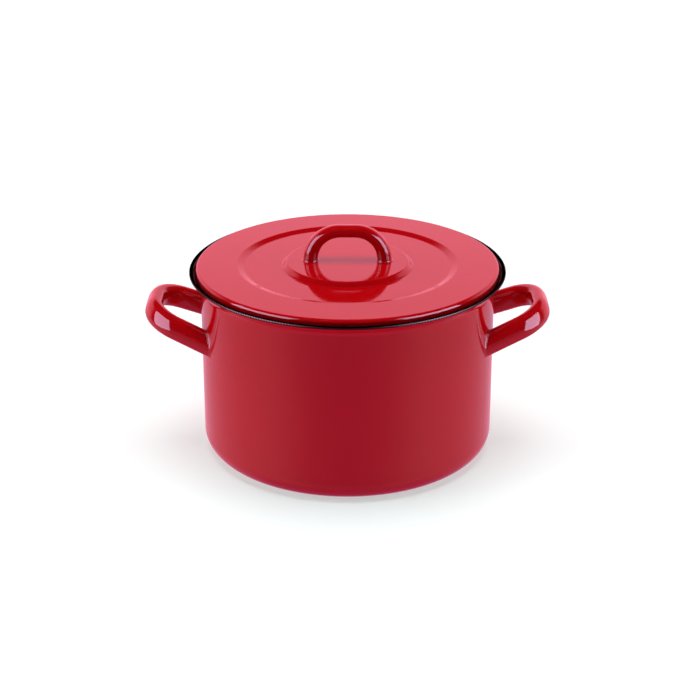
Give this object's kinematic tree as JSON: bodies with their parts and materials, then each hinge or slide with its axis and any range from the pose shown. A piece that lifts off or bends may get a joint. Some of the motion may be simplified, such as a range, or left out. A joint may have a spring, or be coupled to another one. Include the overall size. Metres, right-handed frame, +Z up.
{
  "type": "lidded cooking pot",
  "caption": "Wide cylindrical cooking pot of glossy red enamelled steel with a flared dark rim, hollow loop side handles and a recessed flat lid with an arch handle, for simmering.",
  "frame": {"origin": "centre of the base's underside, on the surface that the pot stands on", "axes": "+Z up along the pot's axis, X through the two side handles, Y across them"},
  "size_m": [0.3374, 0.2624, 0.1945],
  "materials": {
    "red_enamel": "gloss vitreous enamel",
    "dark_rim": "dark gloss strip, finely crimped"
  },
  "bodies": {
    "pot": {"pot_shell": "red_enamel", "rim_band": "dark_rim", "right_handle": "red_enamel", "right_handle_welds": "red_enamel", "left_handle": "red_enamel", "left_handle_welds": "red_enamel"},
    "lid": {"lid_shell": "red_enamel", "lid_handle": "red_enamel", "lid_handle_welds": "red_enamel"}
  },
  "joints": [
    {"name": "lid_lift", "type": "slide", "parent": "pot", "child": "lid", "axis": [0, 0, 1], "range_m": [0, 0.2]}
  ]
}
